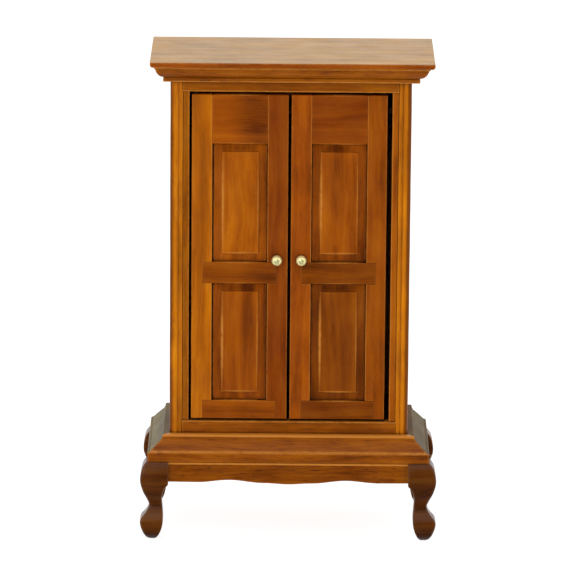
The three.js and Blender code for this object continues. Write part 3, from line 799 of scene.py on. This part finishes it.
def aprons():
    """Sawn to a scallop below; the front edges are rounded, so the top one catches the light, and the front
    apron's top edge also gets a painted highlight line.
    """
    for name, grain, outward in (("front_apron", "x", -1), ("left_apron", "y", -1), ("right_apron", "y", 1)):
        low, high = box(name)
        along, across = (0, 1) if grain == "x" else (1, 0)
        face, back = (low[across], high[across]) if outward < 0 else (high[across], low[across])
        middle = (low[along] + high[along]) / 2
        half = (high[along] - low[along]) / 2
        turn_over = (grain == "x") == (outward < 0)
        head = high.z - 0.15
        rings = []
        for at in spaced([low[along], high[along]], 0.3 * GRID):
            foot = low.z + 0.3 + 0.85 * scallop(abs(at - middle) / half)
            section = rounded([(back, foot, 0.1), (back, head, 0.1), (face, head, 0.6), (face, foot, 0.35)])
            ring = []
            for u, z in (section if turn_over else reversed(section)):
                point = [0.0, 0.0, z]
                point[along], point[across] = at, u
                ring.append(point)
            rings.append(ring)
        points, faces = loft(rings)
        # A painted highlight line along the front apron's top edge
        lines = [front_line(head - 0.45, 1.6)] if grain == "x" else ()
        smooth(add_wood(name, points, faces, grain, "case_wood", lines=lines))


# The legs
def curve_through(knots, at):
    """A smooth curve through knots [place, value], read at a place; places rise along the list."""
    last = len(knots) - 2
    i = max(k for k in range(last + 1) if knots[k][0] <= at or k == 0)
    (x0, y0), (x1, y1) = knots[i], knots[i + 1]

    def slope(k):
        before, after = knots[max(k - 1, 0)], knots[min(k + 1, len(knots) - 1)]
        return (after[1] - before[1]) / (after[0] - before[0])

    span = x1 - x0
    t = (at - x0) / span
    start, end = slope(i) * span, slope(i + 1) * span
    return (y0 * (2 * t ** 3 - 3 * t ** 2 + 1) + start * (t ** 3 - 2 * t ** 2 + t)
            + y1 * (3 * t ** 2 - 2 * t ** 3) + end * (t ** 3 - t ** 2))


# A leg's outlines as [height, reach beyond the base moulding]
LEG_OUTER = [(0.0, -0.4), (0.5, 0.3), (2.4, 1.5), (6.0, 2.6), (8.0, 2.3), (9.8, 0.7), (12.2, -0.6),
             (14.0, -0.2), (18.0, 1.6), (22.5, 2.6), (27.0, 1.8), (29.0, 0.5)]
LEG_INNER = [(0.0, -3.0), (1.2, -4.0), (4.0, -5.2), (7.5, -5.8), (15.5, -5.4), (19.5, -6.4), (21.0, -7.7),
             (29.0, -7.7)]


def leg(name, corner, turn):
    """Square in section, sawn to the same outline on both faces and rounded on its corners."""
    quarter = Matrix.Rotation(turn * math.pi / 2, 3, "Z")
    corner_at = Vector((*corner, 0))
    rings = []
    for z in even(0, LEG_TOP, 58):
        outer = curve_through(LEG_OUTER, z)
        inner = max(curve_through(LEG_INNER, z), LEG_INNER[-1][1])
        section = rounded([(inner, -outer, 0.5), (outer, -outer, 1.1), (outer, -inner, 0.5),
                           (inner, -inner, 0.5)], 5)
        rings.append([quarter @ Vector((u, v, z)) + corner_at for u, v in section])
    points, faces = loft(rings)
    smooth(add_wood(name, points, faces, "x", "leg_wood", 0.06), 50)


def legs():
    """Each is the front right one, given quarter turns about its own corner of the base."""
    corner_x = HALF_CASE + BASE_REACH
    front_y = FACE_Y - BASE_REACH
    corners = ((corner_x, front_y), (corner_x, BACK_Y), (-corner_x, BACK_Y), (-corner_x, front_y))
    for turn, (name, corner) in enumerate(zip(LEGS, corners)):
        leg(name, corner, turn)


# The doors
def near(a, b):
    return abs(a - b) < SAME


def stile(hand, part):
    """An upright of a door, cut away in front where the lapped rails lie over it."""
    name = f"{hand}_{part}"
    low, high = box(name)
    if name == "right_hinge_stile":
        high.x -= DOOR_PLAY
    lock_low, lock_high = box(f"{hand}_door_lock_rail")
    foot_low, foot_high = box(f"{hand}_door_bottom_rail")
    top_rail_z = box(f"{hand}_door_top_rail")[0].z
    on_left = low.x < lock_low.x
    outer, inner, lap_edge = (low.x, high.x, lock_low.x) if on_left else (high.x, low.x, lock_high.x)
    mid_y = (low.y + high.y) / 2
    notches = [(foot_low.z, foot_high.z), (lock_low.z, lock_high.z)]

    def solid(x, y, z):
        lapped = min(lap_edge, inner) < x < max(lap_edge, inner)
        return not (lapped and y < mid_y and any(start < z < end for start, end in notches))

    def edge_radius(at):
        in_joint = at.z > top_rail_z or any(start - SAME < at.z < end + SAME for start, end in notches)
        if near(at.x, outer) or near(at.z, low.z) or near(at.z, high.z):
            return ARRIS
        if near(at.x, inner) and not in_joint:
            return ARRIS
        return JOINT_ARRIS if near(at.y, low.y) else 0.0

    xs = spaced(sorted({low.x, high.x, lap_edge}))
    zs = spaced(sorted({low.z, foot_high.z, lock_low.z, lock_high.z, top_rail_z, high.z}))
    # Painted highlight lines along both upright edges
    lines = [upright_line(inner, 0.6), upright_line(outer, 0.4)]
    joinery(name, (xs, [low.y, mid_y, high.y], zs), solid, edge_radius, "z", lines)


def door_rail(hand, part):
    """A rail of a door; the ends of a lapped one are half as thick."""
    name = f"{hand}_{part}"
    low, high = box(name)
    opening_low, opening_high = box(f"{hand}_door_top_rail")
    mid_y = (low.y + high.y) / 2

    def solid(x, y, z):
        return y < mid_y or opening_low.x < x < opening_high.x

    def edge_radius(at):
        over_panel = opening_low.x < at.x < opening_high.x
        if near(at.z, low.z) and (over_panel or part == "door_bottom_rail"):
            return ARRIS
        if near(at.z, high.z) and (over_panel or part == "door_top_rail"):
            return ARRIS
        return JOINT_ARRIS if near(at.y, low.y) else 0.0

    xs = spaced(sorted({low.x, opening_low.x, opening_high.x, high.x}))
    middle = (opening_low.x + opening_high.x) / 2
    arrises = [high.z] if part == "door_bottom_rail" else [low.z, high.z]
    # Painted highlight lines along the arrises over the panel
    lines = [front_line(z, 0.7, middle, 11.0, 0.45) for z in arrises]
    joinery(name, (xs, [low.y, mid_y, high.y], spaced([low.z, high.z])), solid, edge_radius, "x", lines)


def panel_levels(face, back):
    """[distance in from the frame, depth] from the tongue's back, over the slope, to the field."""
    tongue_front, slope_foot, slope_head, field = back - 0.3, face + 1.3, face + 0.95, face + 0.4
    levels = [(-TONGUE, back), (-TONGUE, tongue_front), (0.1, tongue_front), (0.12, slope_foot),
              (1.5, face + 1.1), (2.95, slope_head), (3.0, slope_head)]
    for angle in even(0, math.radians(90), 4):
        levels.append((3.02 + 0.55 * (1 - math.cos(angle)),
                       slope_head + (field - slope_head) * math.sin(angle)))
    return levels + [(4.4, field)]


def field_highlight_and_shade(face, left, right, foot, head):
    """Painted highlight lines along the edges of a panel's field, and painted shade on the slope above it,
    under the rail.
    """
    middle_x, middle_z = (left + right) / 2, (foot + head) / 2
    wide, tall = right - left, head - foot
    lines = [((left, face, middle_z), (0.8, 5.0, 0.62 * tall), 1.05),
             ((right, face, middle_z), (0.5, 5.0, 0.62 * tall), 0.55),
             front_line(foot, 0.75, middle_x, 0.7 * wide)]
    patches = [((middle_x, face, head + 1.5), (0.85 * wide, 5.0, 1.9), 0.26)]
    return {"lines": lines, "patches": patches}


def raised_panel(hand, part):
    """A tongue in the frame, a gap, a slope up to the field and the field's rounded edge."""
    name = f"{hand}_{part}"
    low, high = box(name)
    rail_low, rail_high = box(f"{hand}_door_top_rail")
    left_gap, right_gap = LOOKS[name]["gap"]
    foot, head = low.z + TONGUE, high.z - TONGUE
    rings = []
    for inset, y in panel_levels(rail_low.y, high.y):
        left, right = rail_low.x + inset, rail_high.x - inset
        if inset > 0:  # in front of the tongue
            left, right = left + left_gap, right - right_gap
        xs, zs = even(left, right, 14), even(foot + inset, head - inset, 32)
        rings.append([(x, y, z) for x, z in around(xs, zs)])
    points, faces = loft(rings)
    field_edge = 3.3
    highlight_and_shade = field_highlight_and_shade(rail_low.y, rail_low.x + left_gap + field_edge, rail_high.x - right_gap - field_edge,
                      foot + field_edge, head - field_edge)
    smooth(add_wood(name, points, faces, "z", "door_wood", 0.10, 4.0, **highlight_and_shade), 40)


def knob(hand, material):
    """Turned brass: a flange, a neck and a round head with a dimple in its flat top."""
    name = f"{hand}_knob"
    low, high = box(name)
    centre_x, centre_z = (low.x + high.x) / 2, (low.z + high.z) / 2
    radius = (high.x - low.x) / 2
    reach = DOOR_FACE_Y - low.y
    profile = [(0.6, -1.9), (0.6, -0.01), (1.25, -0.01), (1.3, 0.1), (1.2, 0.2), (0.95, 0.3)]
    for angle in even(math.radians(-28), math.radians(80), 15):
        profile.append((radius * math.cos(angle), reach - radius + radius * math.sin(angle)))
    profile += [(0.2, reach - 0.06), (0.14, reach - 0.18), (0.05, reach - 0.2)]
    turns = even(0, 2 * math.pi, 40)[:-1]
    rings = [[(centre_x + spread * math.cos(turn), DOOR_FACE_Y - out, centre_z + spread * math.sin(turn))
              for turn in turns] for spread, out in profile]
    points, faces = loft(rings)
    smooth(add_piece(f"turned_{name}", points, faces, material, name), 60)


def doors():
    bright = brass()
    for hand in HANDS:
        for part in ("hinge_stile", "meeting_stile"):
            stile(hand, part)
        for part in ("door_top_rail", "door_lock_rail", "door_bottom_rail"):
            door_rail(hand, part)
        for part in ("upper_panel", "lower_panel"):
            raised_panel(hand, part)
        knob(hand, bright)


def inside():
    """The CAD nodes that only an open door shows keep their shapes and get wood or dark metal."""
    for name in INSIDE:
        frame["nodes"][name].material_slots[0].material = looked_wood(name, "x")
    pins = dark_metal()
    for hand in HANDS:
        for level in ("lower", "upper"):
            frame["nodes"][f"{hand}_{level}_hinge_pin"].material_slots[0].material = pins


# The studio
def studio():
    """A white room that is dark towards the camera, so that the front is lit by the lamps."""
    scene = bpy.context.scene
    scene.view_settings.view_transform = "Standard"
    scene.view_settings.look = "None"
    world = bpy.data.worlds.new("studio")
    scene.world = world
    world.use_nodes = True
    tree = world.node_tree
    tree.nodes.clear()
    direction = node(tree, "ShaderNodeTexCoord").outputs["Generated"]
    dark_side = Vector((0.0, -0.96, -0.28)).normalized()
    facing = node(tree, "ShaderNodeVectorMath", {0: direction, 1: dark_side}, operation="DOT_PRODUCT")
    brightness = remap(tree, facing.outputs["Value"], 0.20, 0.80, 1.0, 0.0)
    seen = node(tree, "ShaderNodeLightPath").outputs["Is Camera Ray"]
    room = mix(tree, seen, brightness, (1.0, 1.0, 1.0, 1.0))
    background = node(tree, "ShaderNodeBackground", {"Color": room, "Strength": 1.0})
    node(tree, "ShaderNodeOutputWorld", {"Surface": background.outputs[0]})


def floor():
    """A matt floor that glows enough to look white; the wood and brass don't mirror it."""
    reach = 3000 * MM
    mesh = bpy.data.meshes.new("floor")
    corners = [(-reach, -reach, 0), (reach, -reach, 0), (reach, reach, 0), (-reach, reach, 0)]
    mesh.from_pydata(corners, [], [(0, 1, 2, 3)])
    material = bpy.data.materials.new("pale_floor")
    material.use_nodes = True
    tree = material.node_tree
    tree.nodes.clear()
    matt = node(tree, "ShaderNodeBsdfDiffuse", {"Color": (0.35, 0.35, 0.35, 1.0)})
    glow = node(tree, "ShaderNodeEmission", {"Color": (1.0, 1.0, 1.0, 1.0), "Strength": 0.85})
    both = node(tree, "ShaderNodeAddShader", {0: matt.outputs[0], 1: glow.outputs[0]})
    node(tree, "ShaderNodeOutputMaterial", {"Surface": both.outputs[0]})
    material.cycles.emission_sampling = "NONE"
    mesh.materials.append(material)
    piece = bpy.data.objects.new("floor", mesh)
    bpy.context.scene.collection.objects.link(piece)
    piece.visible_glossy = False


def lamp(name, place, size, power, mirrored):
    """A soft square light that looks at the middle of the wardrobe; one that is mirrored also shows
    as a highlight. Place and size are in metres."""
    middle = Vector((0, 0, 90)) * MM
    data = bpy.data.lights.new(name, "AREA")
    data.size = size
    data.energy = power
    piece = bpy.data.objects.new(name, data)
    bpy.context.scene.collection.objects.link(piece)
    piece.location = place
    piece.rotation_mode = "QUATERNION"
    piece.rotation_quaternion = (middle - Vector(place)).to_track_quat("-Z", "Y")
    piece.visible_glossy = mirrored


def lamps():
    """A key and a fill that give light only, and one that also sparkles in the brass."""
    lamp("key", (-0.25, -1.2, 0.9), 0.6, 2.8, mirrored=False)
    lamp("fill", (0.9, -0.9, 0.35), 0.9, 1.2, mirrored=False)
    lamp("sparkle", (-0.5, -1.2, 0.55), 0.7, 3.4, mirrored=True)


def camera():
    """The photograph's view: long lens, a little above, with a slight roll."""
    pitch = math.radians(13.48)
    roll = math.radians(0.46)
    distance = 1885 * MM
    aim = Vector((-0.6, FACE_Y, 92.7)) * MM
    back = Vector((0, -math.cos(pitch), math.sin(pitch)))
    data = bpy.data.cameras.new("camera")
    data.sensor_width = 36
    data.lens = 324.5
    data.clip_start = 0.1
    data.clip_end = 20
    piece = bpy.data.objects.new("camera", data)
    bpy.context.scene.collection.objects.link(piece)
    piece.location = aim + back * distance
    piece.rotation_mode = "QUATERNION"
    level = (-back).to_track_quat("-Z", "Y").to_matrix()
    piece.rotation_quaternion = (level @ Matrix.Rotation(roll, 3, "Z")).to_quaternion()
    bpy.context.scene.camera = piece


top_board()
mouldings()
posts()
case_boards()
aprons()
legs()
doors()
inside()
studio()
floor()
lamps()
camera()
